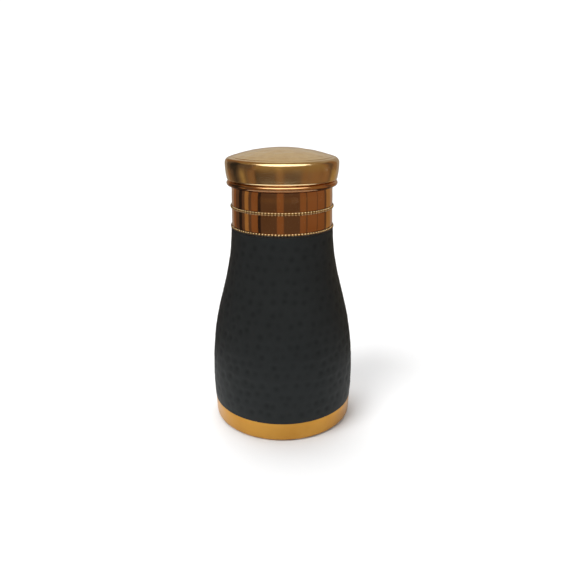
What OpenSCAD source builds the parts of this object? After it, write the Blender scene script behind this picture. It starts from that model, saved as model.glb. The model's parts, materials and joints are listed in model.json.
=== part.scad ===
// Bedside water bottle of beaten copper, with a drinking tumbler built into its lid.
// The origin is at the middle of the foot, on the surface that the bottle stands on, and +Z is up.
// Every shell is one sheet thick, and the barrel laps over the base pan and over the neck.
// The lid and its tumbler lift straight out of the neck.

/* [Sheet metal] */
// Thickness of the sheet that every shell is beaten or spun from
sheet_t = 0.7; // [0.5:0.1:0.8]
// Length of the lapped joints at the two ends of the barrel
lap_len = 5.5; // [4:0.5:7]

/* [Base pan] */
// Radius of the polished base band at its top edge
base_top_r = 56.3; // [54:0.1:58]
// How much narrower the band is just above its rounded foot
base_draft = 0.5; // [0:0.1:1]
// Height of the polished base band
base_h = 15.6; // [12:0.1:20]
// Radius of the rounded corner at the foot
foot_corner_r = 3; // [2:0.5:5]
// Width of the flat ring that the bottle stands on
foot_land_w = 4; // [3:0.5:8]
// How far the bottom is dished in above that ring
bottom_rise = 2.5; // [1:0.5:4]

/* [Barrel] */
// Radius of the barrel at its widest
belly_r = 57.2; // [56:0.1:60]
// Height of the widest place
belly_z = 31.3; // [28:0.1:36]
// Radius of the barrel's top edge, round the neck
throat_r = 39; // [38:0.1:41]
// Height of the barrel's top edge
throat_z = 156.5; // [145:0.5:165]
// How far the belly keeps its fullness before it leans in
belly_pull = 67.4; // [50:0.1:80]
// How far below the throat the shoulder turns upright
throat_pull = 50.4; // [30:0.1:60]
// Lean of the shoulder where it comes up to the throat
throat_lean = 1.8; // [0:0.1:4]

/* [Neck and mouth] */
// Radius of the neck just above the barrel
neck_low_r = 38.45; // [37.8:0.05:38.7]
// Radius of the neck just under its rolled rim
neck_top_r = 38.05; // [37.8:0.05:38.5]
// Height of the mouth, at the top of the rolled rim
mouth_z = 192.45; // [185:0.05:200]
// Radius of the roll's round section
rim_roll_r = 1.9; // [1.6:0.1:2.2]
// Radius of the circle that the middle of the roll follows
rim_r = 39.75; // [39.6:0.05:40]

/* [Bead rings] */
// Number of beads in each ring
bead_count = 100; // [60:1:100]
// Radius of one bead
bead_r = 1.2; // [0.9:0.05:1.2]
// How deep a bead's middle is sunk behind the inner face of its strip
bead_sink = 0.2; // [0:0.05:0.4]
// Thickness of the strip that carries the beads
bead_strip_t = 0.25; // [0.2:0.05:0.4]
// Height of the lower ring above the barrel's top edge
lower_bead_lift = 1.3; // [1.25:0.05:2]
// Height of the upper ring above the barrel's top edge
upper_bead_lift = 16.6; // [8:0.1:22]

/* [Lid] */
// Gap between the mouth and the lid's flat seat
lid_gap = 0.1; // [0.05:0.05:0.3]
// Radius of the lid's polished band at its widest
lid_r = 42.5; // [41.5:0.1:44]
// Radius of the band where it meets its lower corner
lid_low_r = 41.5; // [41:0.1:42]
// Radius of the lid's lower corner
lid_corner_r = 2.2; // [1.5:0.1:3]
// Height of the band's top above the lid's seat
lid_band_h = 12.5; // [9:0.1:16]
// Radius of the rounded shoulder between band and dome
lid_shoulder_r = 4; // [2:0.1:6]
// Radius of the ball that the dome is cut from
dome_ball_r = 120; // [80:1:200]
// Width of the ring that is turned in under the lid's edge
lid_turn_in = 1.8; // [1:0.1:2.4]

/* [Tumbler] */
// Outer radius of the tumbler's wall
tumbler_r = 36.2; // [34:0.1:36.3]
// Depth of the tumbler below the lid's seat
tumbler_depth = 81; // [60:1:100]
// Height of the tumbler's closed end above the lid's seat
tumbler_foot_h = 4.5; // [3:0.5:8]
// Radius of the curled drinking lip's round section
lip_roll_r = 0.9; // [0.7:0.1:1]
// Radius of the corner at the tumbler's closed end
tumbler_corner_r = 4; // [2:0.5:4]

/* [Hidden] */
$fn = 96;

// Gap between sheets that lap over each other, and under a brazed bead or strip
lap_gap = 0.1;
braze_gap = 0.03;
// Steps along a long curve, and along a short arc
curve_steps = 28;
arc_steps = 10;

// Foot and base pan
base_low_r = base_top_r - base_draft;
foot_land_r = base_low_r - foot_corner_r;
panel_r = foot_land_r - foot_land_w - bottom_rise;

// Barrel: its edge meets the band, and its outline is two curves that join at the belly
foot_edge = [base_top_r + 0.1, base_h];
foot_edge_lean = [0.5, 6];
belly = [belly_r, belly_z];
belly_low_pull = 8;
throat = [throat_r, throat_z];
lower_outline = [foot_edge, foot_edge + foot_edge_lean, belly - [0, belly_low_pull], belly];
upper_outline = [belly, belly + [0, belly_pull], throat + [throat_lean, -throat_pull], throat];

// Neck and rolled rim
neck_lap_r = throat_r - sheet_t - lap_gap;
neck_join_h = 3.5;
rim_z = mouth_z - rim_roll_r;
rim_seam_w = 0.5;
rim_flare_z = rim_z - 2.2 * rim_roll_r;
wire_clearance = 0.05;

// Bead rings
lower_bead_z = throat_z + lower_bead_lift;
upper_bead_z = throat_z + upper_bead_lift;
bead_strip_h = 2 * bead_r + 0.02;
neck_taper = (neck_low_r - neck_top_r) / (rim_flare_z - throat_z - neck_join_h);
upper_neck_r = neck_low_r - neck_taper * (upper_bead_z - bead_strip_h / 2 - throat_z - neck_join_h);

// Lid and tumbler
seat_z = mouth_z + lid_gap;
band_top_z = seat_z + lid_band_h;
dome_edge_r = lid_r - lid_shoulder_r;
dome_inner_ball = dome_ball_r - lid_shoulder_r;
dome_centre_z = band_top_z - sqrt(pow(dome_inner_ball, 2) - pow(dome_edge_r, 2));
dome_edge_angle = acos(dome_edge_r / dome_inner_ball);
lid_flat_r = lid_low_r - lid_corner_r;
cap_band_foot = [lid_low_r, seat_z + lid_corner_r];
cap_band_head = [lid_r, band_top_z];
cap_band = [cap_band_foot, cap_band_foot + [0.4, 2], cap_band_head - [0, 5], cap_band_head];
base_ring_r = lid_flat_r;
collar_h = 3;
lip_z = seat_z - tumbler_depth + lip_roll_r;
lip_r = tumbler_r - sheet_t / 2;
tumbler_top_z = seat_z + tumbler_foot_h;

// A point on the cubic curve with the four control points p, and the direction it heads in
function curve_point(p, t) =
    pow(1 - t, 3) * p[0] + 3 * pow(1 - t, 2) * t * p[1]
    + 3 * (1 - t) * t * t * p[2] + pow(t, 3) * p[3];
function curve_heading(p, t) =
    pow(1 - t, 2) * (p[1] - p[0]) + 2 * (1 - t) * t * (p[2] - p[1]) + t * t * (p[3] - p[2]);

// A point moved at right angles to its heading, towards the axis on a curve that climbs
function moved_in(point, heading, depth) =
    point + depth * [-heading[1], heading[0]] / norm(heading);

// Points along a curve, each moved in by depth
function curve_points(p, depth, steps = curve_steps) = [
    for (i = [0 : steps])
        moved_in(curve_point(p, i / steps), curve_heading(p, i / steps), depth)
];

// Points on a circle about centre, from angle a to angle b
function arc_points(centre, r, a, b, steps = arc_steps) = [
    for (i = [0 : steps])
        let (angle = a + (b - a) * i / steps)
        centre + r * [cos(angle), sin(angle)]
];

// The same points in the opposite order
function backwards(points) = [for (i = [len(points) - 1 : -1 : 0]) points[i]];

// The barrel's outline moved in by depth, from the base band up to the throat
function barrel_side(depth) = concat(
    curve_points(lower_outline, depth, steps = 8),
    [for (i = [1 : curve_steps]) curve_points(upper_outline, depth)[i]]
);

// Outline of the base pan's lip, which follows the inside of the barrel
function lap_side() = [
    for (p = curve_points(lower_outline, sheet_t + lap_gap, steps = 12))
        if (p[1] > base_h + sheet_t && p[1] < base_h + lap_len) p
];

// One shell turned round the axis from an outer and an inner line of points
module turned_shell(outer, inner) {
    rotate_extrude()
        polygon(concat(outer, backwards(inner)));
}

// Outline of the base pan on its outer side, moved in by depth
function pan_side(depth) = concat(
    [[0, bottom_rise + depth], [panel_r, bottom_rise + depth]],
    [[panel_r + bottom_rise + depth / 2, depth]],
    arc_points([foot_land_r, foot_corner_r], foot_corner_r - depth, -90, 0),
    [[base_top_r - depth, base_h - depth]]
);

// Polished band and dished bottom, pressed in one piece, with a lip that laps inside the barrel
module base_pan() {
    lip = lap_side();
    lip_inner = [for (p = lip) p - [sheet_t, 0]];
    outer = concat(pan_side(0), [[base_top_r, base_h], [lip[0][0], base_h]], lip);
    color("goldenrod")
        turned_shell(outer, concat(pan_side(sheet_t), lip_inner));
}

// Beaten and blackened barrel
module barrel() {
    color([0.13, 0.13, 0.13])
        turned_shell(barrel_side(0), barrel_side(sheet_t));
}

// Outline of the neck, from its lap inside the barrel up to the start of its rolled rim
function neck_side(depth) = [
    [neck_lap_r - depth, throat_z - lap_len],
    [neck_lap_r - depth, throat_z],
    [neck_low_r - depth, throat_z + neck_join_h],
    [neck_top_r - depth, rim_flare_z],
    [rim_r - rim_roll_r + sheet_t - depth, rim_z]
];

// Polished neck, with its edge rolled outwards round a wire
module neck_sleeve() {
    color("peru") {
        turned_shell(neck_side(0), neck_side(sheet_t));
        rotate_extrude()
            translate([rim_r, rim_z])
                difference() {
                    circle(r = rim_roll_r);
                    circle(r = rim_roll_r - sheet_t);
                    translate([-rim_roll_r / 2 - rim_seam_w, -2 * rim_roll_r])
                        square([rim_seam_w, 2 * rim_roll_r]);
                }
    }
}

// Wire that stiffens the rolled rim
module rim_wire() {
    color("darkgoldenrod")
        rotate_extrude()
            translate([rim_r, rim_z])
                circle(r = rim_roll_r - sheet_t - wire_clearance);
}

// Strip round the neck where the neck has radius neck_r, with round beads brazed to it
module bead_ring(neck_r, z) {
    strip_r = neck_r + braze_gap + bead_strip_t;
    color("gold")
        translate([0, 0, z]) {
            rotate_extrude()
                translate([neck_r + braze_gap, -bead_strip_h / 2])
                    square([bead_strip_t, bead_strip_h]);
            for (i = [0 : bead_count - 1])
                rotate([0, 0, 360 * i / bead_count])
                    difference() {
                        translate([neck_r + braze_gap - bead_sink, 0, 0])
                            sphere(r = bead_r, $fn = 48);
                        cylinder(r = strip_r + braze_gap, h = 4 * bead_r, center = true, $fn = 240);
                    }
        }
}

// Ring that covers the brazed joint between barrel and neck
module lower_bead_ring() {
    bead_ring(neck_low_r, lower_bead_z);
}

// Ring half-way up the neck, where the neck is a little narrower
module upper_bead_ring() {
    bead_ring(upper_neck_r, upper_bead_z);
}

// Outline of the lid's cap on its outer side, moved in by depth
function cap_side(depth) = concat(
    [[lid_flat_r - lid_turn_in, seat_z + depth]],
    arc_points([lid_flat_r, seat_z + lid_corner_r], lid_corner_r - depth, -90, 0),
    [for (i = [1 : arc_steps]) curve_points(cap_band, depth, steps = arc_steps)[i]],
    [for (i = [1 : arc_steps])
        arc_points([dome_edge_r, band_top_z], lid_shoulder_r - depth, 0, dome_edge_angle)[i]],
    [for (i = [1 : curve_steps])
        arc_points([0, dome_centre_z], dome_ball_r - depth, dome_edge_angle, 90, curve_steps)[i]]
);

// Beaten dome and polished band, spun in one piece, with its lower edge turned in
module lid_cap() {
    color("burlywood")
        turned_shell(cap_side(0), cap_side(sheet_t));
}

// Flat ring that closes the lid from below, with a collar brazed round the tumbler
module lid_base_ring() {
    bottom_z = seat_z + sheet_t + lap_gap;
    hole_r = tumbler_r + lap_gap;
    color("darkgoldenrod")
        rotate_extrude() {
            translate([hole_r, bottom_z])
                square([base_ring_r - hole_r, sheet_t]);
            translate([hole_r, bottom_z])
                square([sheet_t, collar_h]);
        }
}

// Outline of the tumbler, from its lip up to the middle of its closed end, moved in by depth
function tumbler_side(depth) = concat(
    [[tumbler_r - depth, lip_z]],
    arc_points(
        [tumbler_r - tumbler_corner_r, tumbler_top_z - tumbler_corner_r],
        tumbler_corner_r - depth, 0, 90
    ),
    [[0, tumbler_top_z - depth]]
);

// Drinking tumbler, which hangs upside down in the neck with its lip curled
module tumbler_cup() {
    color("sandybrown") {
        turned_shell(tumbler_side(0), tumbler_side(sheet_t));
        rotate_extrude()
            translate([lip_r, lip_z])
                circle(r = lip_roll_r);
    }
}

base_pan();
barrel();
neck_sleeve();
rim_wire();
lower_bead_ring();
upper_bead_ring();
lid_cap();
lid_base_ring();
tumbler_cup();
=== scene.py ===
"""Looks of the beaten copper bedside bottle with a tumbler built into its lid."""

import json
import math

import bmesh
import bpy
import numpy as np
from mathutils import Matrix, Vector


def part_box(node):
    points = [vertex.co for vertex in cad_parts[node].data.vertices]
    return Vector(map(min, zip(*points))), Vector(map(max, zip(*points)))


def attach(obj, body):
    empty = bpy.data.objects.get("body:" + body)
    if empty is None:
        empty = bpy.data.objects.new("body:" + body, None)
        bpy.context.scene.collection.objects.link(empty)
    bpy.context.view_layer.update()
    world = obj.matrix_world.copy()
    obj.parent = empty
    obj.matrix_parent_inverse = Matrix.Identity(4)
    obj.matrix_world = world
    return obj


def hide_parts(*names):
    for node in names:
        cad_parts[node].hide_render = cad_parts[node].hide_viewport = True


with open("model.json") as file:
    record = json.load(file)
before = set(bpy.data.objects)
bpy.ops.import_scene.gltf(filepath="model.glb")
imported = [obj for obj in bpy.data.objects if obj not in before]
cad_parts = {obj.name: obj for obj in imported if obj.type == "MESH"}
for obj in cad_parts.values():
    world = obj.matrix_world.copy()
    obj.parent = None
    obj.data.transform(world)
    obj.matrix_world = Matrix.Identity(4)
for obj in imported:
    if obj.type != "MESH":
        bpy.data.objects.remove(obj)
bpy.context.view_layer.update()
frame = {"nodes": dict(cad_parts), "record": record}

MM = 0.001

# Where the camera stands, how it is turned, in degrees, and its lens
camera_back = 418.6 * MM
camera_up = 250.7 * MM
camera_pitch = 19.1
camera_yaw = 0.61
camera_lens = 34.5

# How finely turned pieces are cut: columns round the axis, longest and most bent step along the outline
columns = 288
barrel_columns = 420
lid_columns = 360
longest_step = 4 * MM
beaten_step = 0.85 * MM
beaten_rise = 3 * MM
most_bend = math.radians(7)
corner_bend = math.radians(25)
edge_round = 0.12 * MM

# Distances under which points of an outline are one point, or lie on the axis
same_point = 0.001 * MM
on_axis = 0.01 * MM

# The slope under level that an outline may have and still be on a piece's outside
level_slack = 0.02

# Hammer marks on the barrel and on the lid's dome
barrel_mark_pitch = 8 * MM
barrel_mark_reach = 4.9 * MM
barrel_mark_depth = 0.34 * MM
dome_mark_pitch = 8.5 * MM
dome_mark_reach = 5.2 * MM
dome_mark_depth = 0.26 * MM
# How tight the mask of each hammer hollow is, and how strongly painted shade darkens the black coat there
hollow_tightness = 5.0
hollow_shade_strength = 0.48

# How far a blow strays from its place, as a share of the pitch, and how hard the weakest one is
stray_round = 0.24
stray_up = 0.22
weakest_blow = 0.35

# How far the marks stay from the barrel's edges, and the length over which they fade out
barrel_foot_margin = 1 * MM
barrel_throat_margin = 2 * MM
barrel_mark_fade = 4 * MM

# The groove round the lid's dome: how far in from the lid's side, its half width and depth
dome_inset = 4.2 * MM
dome_groove_width = 0.3 * MM
dome_groove_depth = 0.3 * MM
dome_mark_margin = 0.8 * MM
dome_mark_fade = 2.5 * MM
lid_side_height = 8 * MM

# Light: the directions that three soft suns come from, their power and width in degrees, and the even fill.
# The sky lights from above and behind, the key from the left, and the fill from the right.
sky_from = (-0.1, 0.35, 1.0)
sky_power = 1.9
sky_spread = 40
key_from = (-0.62, -0.50, 1.1)
key_power = 1.9
key_spread = 28
fill_from = (0.80, -0.70, 0.60)
fill_power = 0.45
fill_spread = 50
world_fill = 0.28

# The room of cards that shows in the metal
card_distance = 350 * MM
card_top = 450 * MM
tier_split = 148 * MM
box_height = 900 * MM
box_corner = (-0.55, -0.9)
box_far_corner = (0.65, -0.15)
box_glow = 2.2
back_from = 135
back_panel = 15
back_panels = 6
back_top = 260 * MM
ceiling_height = 1800 * MM
wall_behind = 900 * MM
wall_half_width = 1.5
wall_glow_from = -0.3
wall_glow_to = 0.25
wall_glow = 0.51
wall_glow_colour = (1, 0.94, 0.85)
paper_radius = 215 * MM
paper_forward = 90 * MM
table_height = 1 * MM
table_steps = 48
ceiling_reach = 2.0
floor_reach = 4.0
backdrop_glow = 1.1

# Bead rings
bead_count = 100
bead_height = 2.4 * MM
bead_width = 2.1 * MM
bead_reach = 0.85 * MM
strip_thickness = 0.25 * MM
strip_segments = 300


# ---------------------------------------------------------------- nodes

class Wire:
    """What comes out of a node. Arithmetic on a number adds Math nodes."""

    def __init__(self, graph, socket):
        self.graph = graph
        self.socket = socket

    def __add__(self, other):
        return self.graph.math("ADD", self, other)

    def __radd__(self, other):
        return self.graph.math("ADD", other, self)

    def __sub__(self, other):
        return self.graph.math("SUBTRACT", self, other)

    def __rsub__(self, other):
        return self.graph.math("SUBTRACT", other, self)

    def __mul__(self, other):
        return self.graph.math("MULTIPLY", self, other)

    def __rmul__(self, other):
        return self.graph.math("MULTIPLY", other, self)

    def __truediv__(self, other):
        return self.graph.math("DIVIDE", self, other)

    def __pow__(self, other):
        return self.graph.math("POWER", self, other)


class Graph:
    """A node tree that is filled in from Python."""

    def __init__(self, tree):
        self.tree = tree

    def add(self, kind, settings=None, sockets=None, out=0):
        """A node of that kind, with its settings made first and then its sockets filled or linked."""
        node = self.tree.nodes.new(kind)
        for name, value in (settings or {}).items():
            setattr(node, name, value)
        for name, value in (sockets or {}).items():
            if isinstance(value, Wire):
                self.tree.links.new(value.socket, node.inputs[name])
            else:
                node.inputs[name].default_value = value
        return Wire(self, node.outputs[out]) if node.outputs else None

    def math(self, operation, *values):
        return self.add("ShaderNodeMath", {"operation": operation}, dict(enumerate(values)))

    def vector(self, x, y, z):
        return self.add("ShaderNodeCombineXYZ", None, {0: x, 1: y, 2: z})

    def part(self, vector, axis):
        return self.add("ShaderNodeSeparateXYZ", None, {0: vector}, axis)

    def vector_math(self, operation, *values, out=0):
        return self.add("ShaderNodeVectorMath", {"operation": operation}, dict(enumerate(values)), out)

    def scaled(self, vector, scale):
        return self.add("ShaderNodeVectorMath", {"operation": "SCALE"}, {0: vector, "Scale": scale})

    def step(self, value, low, high):
        """0 where value is under low and 1 where it is over high, with a soft step between."""
        return self.add(
            "ShaderNodeMapRange",
            {"interpolation_type": "SMOOTHSTEP"},
            {"Value": value, "From Min": low, "From Max": high},
        )

    def noise(self, vector, scale, detail, roughness, w=None):
        settings = {"noise_dimensions": "3D" if w is None else "4D"}
        sockets = {"Vector": vector, "Scale": scale, "Detail": detail, "Roughness": roughness}
        if w is not None:
            sockets["W"] = w
        return self.add("ShaderNodeTexNoise", settings, sockets)

    def mix(self, factor, first, second):
        """A colour between two colours."""
        return self.add("ShaderNodeMix", {"data_type": "RGBA"}, {0: factor, 6: first, 7: second}, 2)

    def bump(self, height, distance):
        return self.add("ShaderNodeBump", None, {"Height": height, "Distance": distance, "Strength": 1.0})


def new_material(name, paint):
    """A material whose look is filled in by paint(graph), which returns the shader's sockets."""
    material = bpy.data.materials.new(name)
    material.use_nodes = True
    material.node_tree.nodes.clear()
    graph = Graph(material.node_tree)
    surface = graph.add("ShaderNodeBsdfPrincipled", None, paint(graph))
    graph.add("ShaderNodeOutputMaterial", None, {"Surface": surface})
    return material


# ---------------------------------------------------------------- finishes

def place(graph):
    """The point on the piece, its distance from the axis and its height, in metres."""
    point = graph.add("ShaderNodeTexCoord", None, None, "Object")
    x = graph.part(point, "X")
    y = graph.part(point, "Y")
    height = graph.part(point, "Z")
    return point, (x * x + y * y) ** 0.5, height


def turning_lines(graph, fineness):
    """Fine lines round the axis, as a lathe or a polishing mop leaves them."""
    point, radius, _ = place(graph)
    squeezed = graph.vector_math("MULTIPLY", point, (line_drift, line_drift, fineness))
    return graph.noise(squeezed, 1.0, 3.0, 0.6, w=radius * fineness)


def metal(fresh, tarnished, shine, line_depth, fineness, cloud=35.0, rim_shade_band=None):
    """A turned sheet metal, with polishing lines, cloudy tarnish and faint smudges.

    The last argument, if given, is a pair of heights between which the colour is darkened, as painted shade.
    """
    def paint(graph):
        point, _, height = place(graph)
        lines = turning_lines(graph, fineness)
        clouds = graph.noise(point, cloud, 4.0, 0.55)
        smudges = graph.step(graph.noise(point, 90.0, 3.0, 0.6), 0.45, 0.75)
        tarnish = graph.step(clouds, 0.35, 0.75) * 0.7 + lines * 0.25
        colour = graph.mix(tarnish, fresh, tarnished)
        # Painted shade: the band between the two heights is darkened, standing in for the shade under the
        # neck's rolled rim.
        if rim_shade_band:
            low, high = rim_shade_band
            rim_shade = graph.step(height, low - rim_shade_fade, low)
            rim_shade = rim_shade * (1 - graph.step(height, high, high + rim_shade_fade))
            colour = graph.mix(rim_shade * 0.75, colour, rim_shade_colour)
        return {
            "Base Color": colour,
            "Metallic": 1.0,
            "Roughness": shine + 0.1 * (lines - 0.5) + 0.02 * smudges,
            "Normal": graph.bump(lines, line_depth),
        }
    return paint


def beaded_brass(groove_radius, middle_height, black_shade_height):
    """Bright beads with painted shade in the crevices between them and on their lower halves, and matt black
    up to a height as painted shade and the black shoulder's reflection.
    """
    def paint(graph):
        point, radius, height = place(graph)
        # Painted shade: the crevices between the beads, near the strip, are darkened.
        groove = 1 - graph.step(radius, groove_radius, groove_radius + 0.15 * MM)
        # Painted shade and reflection: below a ragged height the beads are matt black, standing in for their
        # shade and the black shoulder they reflect.
        ragged = height + 0.3 * MM * graph.noise(point, 900.0, 2.0, 0.5)
        black_shade_mask = 1 - graph.step(ragged, black_shade_height, black_shade_height + 0.2 * MM)
        wear = graph.noise(point, 300.0, 3.0, 0.6)
        # Painted shade: the lower half of each bead is darkened.
        under = 1 - graph.step(height, middle_height - 0.5 * MM, middle_height + 0.3 * MM)
        colour = graph.mix(wear, bead_brass["bright"], bead_brass["worn"])
        colour = graph.mix(0.8 * under, colour, bead_brass["under"])
        colour = graph.mix(groove, colour, bead_brass["groove"])
        return {
            "Base Color": graph.mix(black_shade_mask, colour, black_shade_colour),
            "Metallic": 1 - black_shade_mask,
            "Roughness": 0.14 + 0.06 * wear + 0.1 * groove + 0.4 * black_shade_mask,
            "Normal": graph.bump(wear, 0.01 * MM),
        }
    return paint


def black_coat(foot_height):
    """Matt black coat over beaten metal, darker in the hammer hollows as painted shade, a little chipped
    along its lower edge.
    """
    def paint(graph):
        point, _, height = place(graph)
        clouds = graph.noise(point, 60.0, 4.0, 0.6)
        grain = graph.noise(point, 2600.0, 2.0, 0.5)
        flecks = graph.noise(point, 420.0, 3.0, 0.6)
        near_foot = 1 - graph.step(height, foot_height, foot_height + 1.6 * MM)
        chipped = graph.step(flecks + 0.22 * near_foot, 0.80, 0.84)
        hollow = graph.add("ShaderNodeAttribute", {"attribute_name": "hollow"}, None, "Fac")
        colour = graph.mix(clouds, coat["darker"], coat["lighter"])
        # Painted shade: the colour is darkened towards the middle of each hammer hollow.
        colour = graph.mix(hollow_shade_strength * hollow, colour, coat["hollow"])
        return {
            "Base Color": graph.mix(chipped, colour, coat["bare"]),
            "Metallic": chipped,
            "Roughness": 0.58 + 0.1 * (clouds - 0.5) + 0.06 * (grain - 0.5) + 0.1 * hollow,
            "Specular IOR Level": 0.2,
            "Specular Tint": coat["sheen"],
            "Normal": graph.bump(grain - 2.0 * chipped, 0.012 * MM),
        }
    return paint


def pale_floor(graph):
    """White paper, a little uneven."""
    point = graph.add("ShaderNodeTexCoord", None, None, "Object")
    clouds = graph.noise(point, 6.0, 3.0, 0.5)
    return {
        "Base Color": graph.mix(clouds, paper["greyer"], paper["whiter"]),
        "Roughness": 0.6,
        "Specular IOR Level": 0.2,
    }


line_drift = 30.0
# The painted shade under the neck's rolled rim: how far its edges fade, and its colour.
rim_shade_fade = 0.6 * MM
rim_shade_colour = (0.12, 0.05, 0.02, 1)
# Matt black for the lower ring's beads below a height, as painted shade and reflection of the black shoulder.
black_shade_colour = (0.010, 0.011, 0.011, 1)

copper = {"fresh": (0.88, 0.50, 0.25, 1), "tarnished": (0.76, 0.40, 0.18, 1)}
brass = {"fresh": (0.98, 0.73, 0.39, 1), "tarnished": (0.88, 0.62, 0.31, 1)}
gold = {"fresh": (0.60, 0.31, 0.062, 1), "tarnished": (0.50, 0.24, 0.042, 1)}

# The two darker colours are painted shade, for the lower halves of the beads and for the crevices between
# them.
bead_brass = {
    "bright": (0.99, 0.79, 0.45, 1), "worn": (0.98, 0.72, 0.38, 1),
    "under": (0.34, 0.17, 0.06, 1), "groove": (0.14, 0.07, 0.025, 1),
}
# The hollow colour is painted shade for the middles of the hammer hollows.
coat = {
    "darker": (0.0125, 0.0137, 0.0139, 1), "lighter": (0.0165, 0.0179, 0.0181, 1),
    "hollow": (0.0030, 0.0034, 0.0036, 1), "bare": (0.35, 0.19, 0.07, 1), "sheen": (0.86, 0.97, 1.0, 1),
}
paper = {"greyer": (0.86, 0.86, 0.86, 1), "whiter": (0.9, 0.9, 0.9, 1)}

foot_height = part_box("barrel")[0][2]
rim_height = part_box("neck_sleeve")[1][2]
# The heights under the rolled rim where the neck's colour is darkened as painted shade.
rim_shade_heights = (rim_height - 4.4 * MM, rim_height - 2.6 * MM)
coat_finish = new_material("black_coat", black_coat(foot_height))
lining_finish = new_material(
    "raw_copper_lining", metal(**copper, shine=0.38, line_depth=0.01 * MM, fineness=1500),
)
neck_finish = new_material(
    "polished_copper", metal(**copper, shine=0.09, line_depth=0.002 * MM, fineness=2600, rim_shade_band=rim_shade_heights),
)
dome_finish = new_material(
    "beaten_brass", metal(**brass, shine=0.20, line_depth=0.003 * MM, fineness=1800, cloud=130.0),
)
base_finish = new_material(
    "brushed_gold_brass", metal(**gold, shine=0.30, line_depth=0.012 * MM, fineness=2400),
)
cup_finish = new_material("plain_copper", metal(**copper, shine=0.24, line_depth=0.006 * MM, fineness=2000))
wire_finish = new_material(
    "drawn_brass_wire", metal(**brass, shine=0.32, line_depth=0.004 * MM, fineness=3000),
)
floor_finish = new_material("pale_floor", pale_floor)


# ---------------------------------------------------------------- turned shells

def section(node):
    """The node's outline where a half-plane through the axis cuts it, as (radius, height) points in order."""
    cut = bmesh.new()
    cut.from_mesh(frame["nodes"][node].data)
    cut.transform(frame["nodes"][node].matrix_world)
    bmesh.ops.remove_doubles(cut, verts=cut.verts, dist=same_point)
    everything = cut.verts[:] + cut.edges[:] + cut.faces[:]
    bmesh.ops.bisect_plane(
        cut, geom=everything, dist=0.0001 * MM, plane_co=(0, 0, 0), plane_no=(0, 1, 0),
        clear_inner=True, clear_outer=True,
    )
    bmesh.ops.remove_doubles(cut, verts=cut.verts, dist=same_point)
    wrong_side = [vert for vert in cut.verts if vert.co.x < -same_point]
    bmesh.ops.delete(cut, geom=wrong_side, context="VERTS")
    ends = [vert for vert in cut.verts if len(vert.link_edges) == 1]
    here = ends[0] if ends else cut.verts[:][0]
    seen = []
    while here:
        seen.append(here)
        onward = [edge.other_vert(here) for edge in here.link_edges]
        here = next((vert for vert in onward if vert not in seen), None)
    points = np.array([(vert.co.x, vert.co.z) for vert in seen])
    cut.free()
    following = np.roll(points, -1, axis=0)
    area = np.sum(points[:, 0] * following[:, 1] - following[:, 0] * points[:, 1])
    return (points if area > 0 else points[::-1]), not ends


def bends(points):
    """How sharply the line of points turns at each of its inner points."""
    steps = np.diff(points, axis=0)
    heading = np.arctan2(steps[:, 1], steps[:, 0])
    turn = np.diff(heading)
    return np.abs((turn + math.pi) % (2 * math.pi) - math.pi)


def fair(points, longest):
    """A run of an outline as one smooth curve, in steps no longer than longest or most_bend apart."""
    gaps = np.linalg.norm(np.diff(points, axis=0), axis=1)
    along = np.concatenate(([0], np.cumsum(gaps)))
    if len(points) == 2:
        count = max(1, math.ceil(along[-1] / longest))
        return np.linspace(points[0], points[1], count + 1)
    slope = np.gradient(points, along, axis=0)
    fine = np.linspace(0, along[-1], 40 * len(points))
    i = np.clip(np.searchsorted(along, fine, "right") - 1, 0, len(gaps) - 1)
    gap = gaps[i][:, None]
    t = ((fine - along[i]) / gaps[i])[:, None]
    curve = (
        (1 + 2 * t) * (1 - t) ** 2 * points[i] + t * (1 - t) ** 2 * gap * slope[i]
        + t ** 2 * (3 - 2 * t) * points[i + 1] + t ** 2 * (t - 1) * gap * slope[i + 1]
    )
    lengths = np.linalg.norm(np.diff(curve, axis=0), axis=1)
    turns = np.concatenate((bends(curve), [0]))
    used = np.concatenate(([0], np.cumsum(lengths / longest + turns / most_bend)))
    count = max(1, math.ceil(used[-1]))
    wanted = np.linspace(0, used[-1], count + 1)
    return np.column_stack([np.interp(wanted, used, curve[:, axis]) for axis in (0, 1)])


def outline(node, outer_step=longest_step):
    """The node's section with its curves smooth and its sharp edges slightly rounded."""
    points, closed = section(node)
    if closed:
        around = np.vstack((points[-1:], points, points[:1]))
        first = int(np.argmax(bends(around)))
        points = np.vstack((points[first:], points[:first + 1]))
    corners = [0] + [i + 1 for i, bend in enumerate(bends(points)) if bend > corner_bend] + [len(points) - 1]
    runs = []
    for start, end in zip(corners, corners[1:]):
        run = points[start:end + 1].copy()
        rise = run[-1, 1] - run[0, 1]
        runs.append(fair(run, outer_step if rise > beaten_rise else longest_step))
    line = [runs[0][0]] if not closed else []
    for run, after in zip(runs, runs[1:] + ([runs[0]] if closed else [None])):
        line.extend(run[1:-1])
        if after is None:
            line.append(run[-1])
            continue
        line.extend(rounded_edge(run[-2], run[-1], after[1]))
    return np.array(line), closed


def rounded_edge(before, corner, after):
    """Three points that round the corner between two straight lines."""
    back = before - corner
    ahead = after - corner
    reach = min(edge_round, 0.4 * np.linalg.norm(back), 0.4 * np.linalg.norm(ahead))
    start = corner + back / np.linalg.norm(back) * reach
    end = corner + ahead / np.linalg.norm(ahead) * reach
    middle = 0.25 * start + 0.5 * corner + 0.25 * end
    return [start, middle, end]


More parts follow.
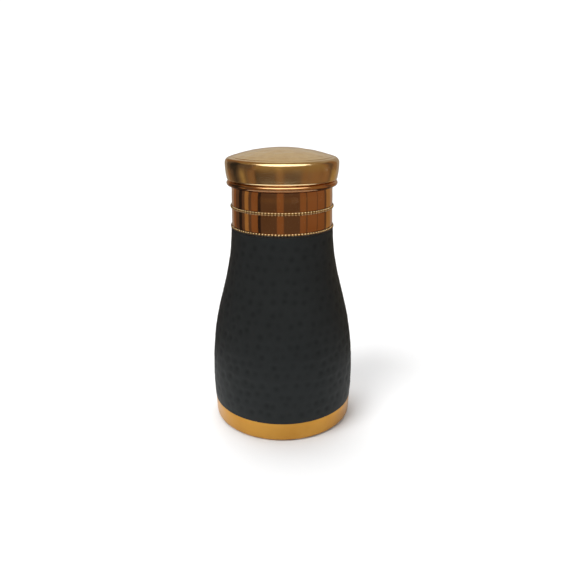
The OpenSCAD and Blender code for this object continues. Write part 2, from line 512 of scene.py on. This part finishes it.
def turned(name, line, closed, finish, around=columns):
    """A shell made by turning an outline round the axis, facing outwards."""
    angles = np.linspace(0, 2 * math.pi, around, endpoint=False)
    verts = []
    rings = []
    for radius, height in line:
        if radius < on_axis:
            rings.append([len(verts)] * around)
            verts.append((0, 0, height))
        else:
            rings.append(list(range(len(verts), len(verts) + around)))
            verts.extend((radius * math.cos(a), radius * math.sin(a), height) for a in angles)
    pairs = list(zip(rings, rings[1:]))
    if closed:
        pairs.append((rings[-1], rings[0]))
    faces = []
    for low, high in pairs:
        for j in range(around):
            k = (j + 1) % around
            corners = [low[j], low[k], high[k], high[j]]
            faces.append([c for n, c in enumerate(corners) if c != corners[n - 1]])
    mesh = bpy.data.meshes.new(name)
    mesh.from_pydata(verts, [], faces)
    if not closed:
        close_ends(mesh)
    mesh.materials.append(finish)
    mesh.polygons.foreach_set("use_smooth", [True] * len(mesh.polygons))
    piece = bpy.data.objects.new(name, mesh)
    bpy.context.scene.collection.objects.link(piece)
    return piece


def close_ends(mesh):
    """Fills the small rings that are left open at the axis."""
    shell = bmesh.new()
    shell.from_mesh(mesh)
    rim = [edge for edge in shell.edges if len(edge.link_faces) == 1]
    if rim:
        bmesh.ops.holes_fill(shell, edges=rim)
    shell.to_mesh(mesh)
    shell.free()


def stand_in(piece, *nodes):
    """The piece stands for those nodes and moves with the body that they belong to."""
    record = frame["record"]
    body = next(name for name, held in record["behaviour"]["bodies"].items() if nodes[0] in held)
    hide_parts(*nodes)
    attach(piece, body)


# ---------------------------------------------------------------- hammer marks

def mark_points(name, line, pitch, seed):
    """One point for each hammer blow, in staggered rows along an outline, each a little out of place."""
    chance = np.random.default_rng(seed)
    gaps = np.linalg.norm(np.diff(line, axis=0), axis=1)
    along = np.concatenate(([0], np.cumsum(gaps)))
    rows = max(1, round(along[-1] / pitch))
    points = []
    blows = []
    for row in range(rows + 1):
        reached = along[-1] * row / rows
        radius = np.interp(reached, along, line[:, 0])
        count = max(1, round(2 * math.pi * radius / pitch))
        for number in range(count):
            turn = (number + 0.5 * (row % 2) + chance.uniform(-stray_round, stray_round)) / count
            spot = reached + pitch * chance.uniform(-stray_up, stray_up)
            r = np.interp(spot, along, line[:, 0])
            z = np.interp(spot, along, line[:, 1])
            angle = 2 * math.pi * turn
            points.append((r * math.cos(angle), r * math.sin(angle), z))
            blows.append(chance.uniform(weakest_blow, 1.0))
    mesh = bpy.data.meshes.new(name)
    mesh.from_pydata(points, [], [])
    mesh.attributes.new("blow", "FLOAT", "POINT").data.foreach_set("value", blows)
    marks = bpy.data.objects.new(name, mesh)
    bpy.context.scene.collection.objects.link(marks)
    return marks


def new_tree(name, inputs):
    """An empty geometry tree with those named inputs, its graph and its input wires by name."""
    tree = bpy.data.node_groups.new(name, "GeometryNodeTree")
    tree.interface.new_socket("Geometry", in_out="OUTPUT", socket_type="NodeSocketGeometry")
    for label, kind in inputs:
        tree.interface.new_socket(label, in_out="INPUT", socket_type="NodeSocket" + kind)
    graph = Graph(tree)
    entry = tree.nodes.new("NodeGroupInput")
    return tree, graph, {label: Wire(graph, entry.outputs[label]) for label, kind in inputs}


def grown(name, piece, tree, values):
    """The piece with the tree run over it, as a plain mesh. The old piece is dropped."""
    modifier = piece.modifiers.new(tree.name, "NODES")
    modifier.node_group = tree
    for item in tree.interface.items_tree:
        if item.in_out == "INPUT" and item.name in values:
            modifier[item.identifier] = values[item.name]
    depsgraph = bpy.context.evaluated_depsgraph_get()
    mesh = bpy.data.meshes.new_from_object(piece.evaluated_get(depsgraph))
    mesh.name = name
    bpy.data.objects.remove(piece)
    result = bpy.data.objects.new(name, mesh)
    bpy.context.scene.collection.objects.link(result)
    return result


def hammer_tree():
    """Pushes each point of a shell inwards, the more the nearer it is to a hammer blow."""
    tree, g, given = new_tree("hammer_marks", [
        ("Shell", "Geometry"), ("Blows", "Object"), ("Reach", "Float"), ("Depth", "Float"),
        ("Tightness", "Float"), ("Outer Finish", "Material"), ("Inner Finish", "Material"),
    ])
    blows = g.add("GeometryNodeObjectInfo", None, {"Object": given["Blows"]}, "Geometry")
    here = g.add("GeometryNodeInputPosition")
    nearest = g.add("GeometryNodeSampleNearest", {"domain": "POINT"}, {0: blows, 1: here})
    spot = g.add(
        "GeometryNodeSampleIndex", {"data_type": "FLOAT_VECTOR", "domain": "POINT"},
        {"Geometry": blows, "Value": here, "Index": nearest},
    )
    strength = g.add("GeometryNodeInputNamedAttribute", {"data_type": "FLOAT"}, {"Name": "blow"})
    strength = g.add(
        "GeometryNodeSampleIndex", {"data_type": "FLOAT", "domain": "POINT"},
        {"Geometry": blows, "Value": strength, "Index": nearest},
    )
    away = g.vector_math("DISTANCE", here, spot, out="Value") / given["Reach"]
    bowl = g.math("MAXIMUM", 1 - away * away, 0.0)
    beaten = g.add("GeometryNodeInputNamedAttribute", {"data_type": "FLOAT"}, {"Name": "beaten"})
    push = bowl * strength * beaten * given["Depth"] * -1.0
    # The hollow attribute marks the middle of each mark; the black coat's colour is darkened there as painted
    # shade.
    hollow = bowl ** given["Tightness"] * strength * beaten
    offset = g.scaled(g.add("GeometryNodeInputNormal"), push)
    shell = g.add(
        "GeometryNodeStoreNamedAttribute", {"data_type": "FLOAT", "domain": "POINT"},
        {"Geometry": given["Shell"], "Name": "hollow", "Value": hollow},
    )
    shell = g.add("GeometryNodeSetPosition", None, {"Geometry": shell, "Offset": offset})
    shell = g.add("GeometryNodeRealizeInstances", None, {"Geometry": shell})
    outside = g.add("GeometryNodeInputNamedAttribute", {"data_type": "FLOAT"}, {"Name": "outside"})
    outside = g.math("GREATER_THAN", outside, 0.5)
    shell = g.add("GeometryNodeSetMaterial", None, {"Geometry": shell, "Material": given["Inner Finish"]})
    shell = g.add(
        "GeometryNodeSetMaterial", None,
        {"Geometry": shell, "Selection": outside, "Material": given["Outer Finish"]},
    )
    g.add("NodeGroupOutput", None, {"Geometry": shell})
    return tree


def beaten_shell(name, line, closed, around, marks, sizes, beaten, outer, inner):
    """A turned shell with hammer marks where beaten, a weight for each outline point, is over 0."""
    shell = turned(name + "_blank", line, closed, outer, around)
    ahead = np.roll(line, -1, axis=0) - np.roll(line, 1, axis=0)
    faces_out = (ahead[:, 1] > -level_slack * np.abs(ahead[:, 0])).astype(float)
    for label, weights in (("beaten", beaten), ("outside", faces_out)):
        per_vertex = np.concatenate([
            [weight] * (1 if radius < on_axis else around) for weight, radius in zip(weights, line[:, 0])
        ])
        store = shell.data.attributes.new(label, "FLOAT", "POINT")
        store.data.foreach_set("value", per_vertex)
    reach, depth = sizes
    values = {
        "Blows": marks, "Reach": reach, "Depth": depth, "Tightness": hollow_tightness,
        "Outer Finish": outer, "Inner Finish": inner,
    }
    piece = grown(name, shell, hammering, values)
    bpy.data.objects.remove(marks)
    return piece


def soft_between(values, low, high, fade):
    """1 between low and high, falling to 0 within fade on either side."""
    rising = np.clip((values - low) / fade, 0, 1)
    falling = np.clip((high - values) / fade, 0, 1)
    return np.minimum(rising, falling)


hammering = hammer_tree()


def make_barrel():
    """The barrel, with hammer marks all over its outside and bare copper inside."""
    line, closed = outline("barrel", beaten_step)
    low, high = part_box("barrel")
    ahead = np.roll(line, -1, axis=0) - np.roll(line, 1, axis=0)
    outer = ahead[:, 1] > 0
    lowest = low[2] + barrel_foot_margin
    highest = high[2] - barrel_throat_margin
    beaten = outer * soft_between(line[:, 1], lowest, highest, barrel_mark_fade)
    marks = mark_points("barrel_blows", line[outer], barrel_mark_pitch, seed=4)
    piece = beaten_shell(
        "hammered_barrel", line, closed, barrel_columns, marks,
        (barrel_mark_reach, barrel_mark_depth), beaten, coat_finish, lining_finish,
    )
    stand_in(piece, "barrel")


def make_lid_cap():
    """The lid, with a fine groove round its dome and shallow hammer marks inside the groove."""
    line, closed = outline("lid_cap", beaten_step)
    low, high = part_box("lid_cap")
    dome_edge = high[0] - dome_inset
    upper = line[:, 1] > low[2] + lid_side_height
    ahead = np.roll(line, -1, axis=0) - np.roll(line, 1, axis=0)
    outer = (ahead[:, 0] < 0) & upper
    groove = np.exp(-((line[:, 0] - dome_edge) / dome_groove_width) ** 2) * outer
    line[:, 1] -= dome_groove_depth * groove
    beaten = outer * soft_between(line[:, 0], -1, dome_edge - dome_mark_margin, dome_mark_fade)
    dome = line[outer & (line[:, 0] < dome_edge)]
    marks = mark_points("dome_blows", dome, dome_mark_pitch, seed=9)
    piece = beaten_shell(
        "beaten_lid_cap", line, closed, lid_columns, marks,
        (dome_mark_reach, dome_mark_depth), beaten, dome_finish, dome_finish,
    )
    stand_in(piece, "lid_cap")


def make_plain_shells():
    """The turned pieces that have no hammer marks."""
    for node, name, finish in (
        ("base_pan", "brushed_base_pan", base_finish),
        ("neck_sleeve", "polished_neck", neck_finish),
        ("lid_base_ring", "lid_seat_ring", wire_finish),
        ("tumbler_cup", "copper_tumbler", cup_finish),
    ):
        line, closed = outline(node)
        stand_in(turned(name, line, closed, finish), node)


# ---------------------------------------------------------------- bead rings

def bead_tree():
    """A thin strip bent into a ring, with round beads standing all the way round it."""
    tree, g, given = new_tree("bead_ring", [
        ("Ring Radius", "Float"), ("Height", "Float"), ("Bead Count", "Int"), ("Bead Size", "Vector"),
        ("Strip Thickness", "Float"), ("Strip Height", "Float"), ("Finish", "Material"),
    ])
    circle = g.add(
        "GeometryNodeMeshCircle", None, {"Vertices": given["Bead Count"], "Radius": given["Ring Radius"]},
    )
    bead = g.add("GeometryNodeMeshUVSphere", None, {"Segments": 10, "Rings": 6, "Radius": 0.5})
    outward = g.add(
        "FunctionNodeAlignRotationToVector", {"axis": "X"}, {"Vector": g.add("GeometryNodeInputPosition")},
    )
    beads = g.add(
        "GeometryNodeInstanceOnPoints", None,
        {"Points": circle, "Instance": bead, "Rotation": outward, "Scale": given["Bead Size"]},
    )
    path = g.add(
        "GeometryNodeCurvePrimitiveCircle", None,
        {"Resolution": strip_segments, "Radius": given["Ring Radius"]},
    )
    band = g.add(
        "GeometryNodeCurvePrimitiveQuadrilateral", None,
        {"Width": given["Strip Thickness"], "Height": given["Strip Height"]},
    )
    strip = g.add("GeometryNodeCurveToMesh", None, {"Curve": path, "Profile Curve": band})
    both = g.tree.nodes.new("GeometryNodeJoinGeometry")
    for part in (beads, strip):
        g.tree.links.new(part.socket, both.inputs[0])
    lift = g.vector(0.0, 0.0, given["Height"])
    ring = g.add("GeometryNodeTransform", None, {"Geometry": Wire(g, both.outputs[0]), "Translation": lift})
    ring = g.add("GeometryNodeRealizeInstances", None, {"Geometry": ring})
    ring = g.add("GeometryNodeSetShadeSmooth", None, {"Geometry": ring})
    ring = g.add("GeometryNodeSetMaterial", None, {"Geometry": ring, "Material": given["Finish"]})
    g.add("NodeGroupOutput", None, {"Geometry": ring})
    return tree


def make_bead_rings():
    """The two bead rings. The lower one is matt black up to the middle of its beads, as painted shade and the
    black shoulder's reflection.
    """
    tree = bead_tree()
    # The share of each ring's height that is matt black, as painted shade and reflection of the black
    # shoulder
    for node, black_shade_share in (("lower_bead_ring", 0.5), ("upper_bead_ring", -0.2)):
        low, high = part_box(node)
        height = high[2] - low[2]
        strip_middle = high[0] - bead_reach
        bead_size = (2 * (high[0] - strip_middle), bead_width, bead_height)
        finish = new_material(node + "_brass", beaded_brass(
            strip_middle + strip_thickness / 2, low[2] + height / 2, low[2] + black_shade_share * height,
        ))
        blank = bpy.data.objects.new(node + "_blank", bpy.data.meshes.new(node))
        bpy.context.scene.collection.objects.link(blank)
        ring = grown("beaded_" + node, blank, tree, {
            "Ring Radius": strip_middle, "Height": low[2] + height / 2, "Bead Count": bead_count,
            "Bead Size": bead_size, "Strip Thickness": strip_thickness, "Strip Height": height,
            "Finish": finish,
        })
        stand_in(ring, node)


# ---------------------------------------------------------------- setting

def make_camera():
    """A camera in front of the bottle that looks down on it."""
    lens = bpy.data.cameras.new("camera")
    lens.lens = camera_lens
    camera = bpy.data.objects.new("camera", lens)
    camera.location = (0, -camera_back, camera_up)
    camera.rotation_euler = (math.radians(90 - camera_pitch), 0, -math.radians(camera_yaw))
    bpy.context.scene.collection.objects.link(camera)
    bpy.context.scene.camera = camera


def make_floor():
    """The white floor that the bottle stands on."""
    far = floor_reach
    mesh = bpy.data.meshes.new("floor")
    mesh.from_pydata([(-far, -far, 0), (far, -far, 0), (far, far, 0), (-far, far, 0)], [], [(0, 1, 2, 3)])
    mesh.materials.append(floor_finish)
    floor = bpy.data.objects.new("floor", mesh)
    bpy.context.scene.collection.objects.link(floor)


def glow(name, brightness, colour=(1, 1, 1)):
    """A finish that shines evenly by itself."""
    material = bpy.data.materials.new(name)
    material.use_nodes = True
    material.node_tree.nodes.clear()
    graph = Graph(material.node_tree)
    shine = graph.add("ShaderNodeEmission", None, {"Color": (*colour, 1), "Strength": brightness})
    graph.add("ShaderNodeOutputMaterial", None, {"Surface": shine})
    return material


def reflection_card(name, corners, finish, faces=((0, 1, 2, 3),)):
    """A flat card that shows only in shiny surfaces. It casts no light or shadow and isn't seen itself."""
    mesh = bpy.data.meshes.new(name)
    mesh.from_pydata(corners, [], faces)
    mesh.materials.append(finish)
    card = bpy.data.objects.new(name, mesh)
    card.visible_camera = False
    card.visible_diffuse = False
    card.visible_shadow = False
    card.visible_transmission = False
    bpy.context.scene.collection.objects.link(card)
    return card


def wall_card(name, start, end, low, high, finish):
    """A card that stands round the bottle between two angles, counted from the camera towards +X."""
    sides = []
    for angle in (start, end):
        turn = math.radians(angle)
        sides.append((card_distance * math.sin(turn), -card_distance * math.cos(turn)))
    (x0, y0), (x1, y1) = sides
    reflection_card(name, [(x0, y0, low), (x1, y1, low), (x1, y1, high), (x0, y0, high)], finish)


def flat_card(name, corner, far_corner, height, finish):
    """A level card, from one corner to the opposite one."""
    (x0, y0), (x1, y1) = corner, far_corner
    reflection_card(name, [(x0, y0, height), (x0, y1, height), (x1, y1, height), (x1, y0, height)], finish)


def make_cards():
    """The dim brown room round the paper that the bottle stands on, in two tiers, and a soft box overhead."""
    shades = {
        "black": (0.022, 0.020, 0.020), "umber": (0.100, 0.072, 0.056), "sienna": (0.220, 0.124, 0.067),
        "ochre": (0.240, 0.165, 0.080), "amber": (0.340, 0.240, 0.110), "sand": (0.330, 0.290, 0.250),
    }
    finishes = {shade: glow("room_" + shade, 1.0, colour) for shade, colour in shades.items()}
    low_tier = (
        (-135, -122, "sienna"), (-122, -108, "umber"), (-108, -97, "black"), (-97, -88, "umber"),
        (-88, -77, "amber"), (-77, -69, "umber"), (-69, -53, "sienna"), (-53, -46, "black"),
        (-46, -11, "umber"), (-11, 3, "sienna"), (3, 38, "umber"), (38, 52, "sienna"), (52, 55, "umber"),
        (55, 80, "sienna"), (80, 82, "umber"), (82, 105, "sienna"), (105, 113, "umber"), (113, 135, "amber"),
    )
    high_tier = (
        (-135, -119, "umber"), (-119, -91, "black"), (-91, -57, "umber"), (-57, -50, "sienna"),
        (-50, -11, "ochre"), (-11, -3, "amber"), (-3, 31, "ochre"), (31, 88, "ochre"), (88, 98, "sienna"),
        (98, 115, "umber"), (115, 135, "sienna"),
    )
    for tier, low, high, panels in (
        ("low", 0.0, tier_split, low_tier), ("high", tier_split, card_top, high_tier),
    ):
        for number, (start, end, shade) in enumerate(panels):
            wall_card(f"room_{tier}_{number}", start, end, low, high, finishes[shade])
    for number in range(back_panels):
        start = back_from + back_panel * number
        wall_card(f"room_back_{number}", start, start + back_panel, 0.0, back_top, finishes["sand"])
    make_table(finishes["umber"])
    far = ceiling_reach
    flat_card("ceiling", (-far, -far), (far, far), ceiling_height, finishes["ochre"])
    flat_card("overhead_box", box_corner, box_far_corner, box_height, glow("overhead_glow", box_glow))
    for name, left, right, finish in (
        ("wall_left", -wall_half_width, wall_glow_from, finishes["sienna"]),
        ("wall_middle", wall_glow_from, wall_glow_to, glow("back_wall_glow", wall_glow, wall_glow_colour)),
        ("wall_right", wall_glow_to, wall_half_width, finishes["sand"]),
    ):
        foot = [(left, wall_behind, back_top), (right, wall_behind, back_top)]
        head = [(right, wall_behind, ceiling_height), (left, wall_behind, ceiling_height)]
        reflection_card(name, foot + head, finish)


def make_table(finish):
    """The dark table top that shows past the round edge of the paper, as one ring of card."""
    corners = []
    for radius, forward in ((paper_radius, paper_forward), (card_distance, 0)):
        for step in range(table_steps):
            angle = 2 * math.pi * step / table_steps
            corners.append((radius * math.cos(angle), radius * math.sin(angle) - forward, table_height))
    faces = []
    for here in range(table_steps):
        onward = (here + 1) % table_steps
        faces.append((here, here + table_steps, onward + table_steps, onward))
    reflection_card("table", corners, finish, faces)


def make_backdrop():
    """Four white walls far away, which only the camera sees."""
    finish = glow("backdrop_glow", backdrop_glow)
    far = floor_reach
    ring = [(-far, -far), (far, -far), (far, far), (-far, far)]
    for number, ((x0, y0), (x1, y1)) in enumerate(zip(ring, ring[1:] + ring[:1])):
        corners = [(x0, y0, 0), (x1, y1, 0), (x1, y1, 2 * far), (x0, y0, 2 * far)]
        wall = reflection_card(f"backdrop_{number}", corners, finish)
        wall.visible_camera = True
        wall.visible_glossy = False


def sun(name, power, spread, direction):
    """A far soft light that comes from that direction and doesn't show in the metal."""
    data = bpy.data.lights.new(name, "SUN")
    data.energy = power
    data.angle = math.radians(spread)
    lamp = bpy.data.objects.new(name, data)
    lamp.rotation_euler = Vector(direction).to_track_quat("Z", "Y").to_euler()
    lamp.visible_glossy = False
    lamp.visible_camera = False
    bpy.context.scene.collection.objects.link(lamp)


def make_lights():
    """Three soft suns and an even grey world."""
    sun("sky_panel", sky_power, sky_spread, sky_from)
    sun("key_panel", key_power, key_spread, key_from)
    sun("fill_panel", fill_power, fill_spread, fill_from)
    world = bpy.data.worlds.new("studio")
    bpy.context.scene.world = world
    world.use_nodes = True
    world.node_tree.nodes.clear()
    g = Graph(world.node_tree)
    fill = g.add("ShaderNodeBackground", None, {"Color": (*[world_fill] * 3, 1)})
    g.add("ShaderNodeOutputWorld", None, {"Surface": fill})
    bpy.context.scene.view_settings.view_transform = "Standard"


make_camera()
make_floor()
make_cards()
make_backdrop()
make_lights()
make_barrel()
make_lid_cap()
make_plain_shells()
make_bead_rings()

frame["nodes"]["rim_wire"].data.materials.clear()
frame["nodes"]["rim_wire"].data.materials.append(wire_finish)
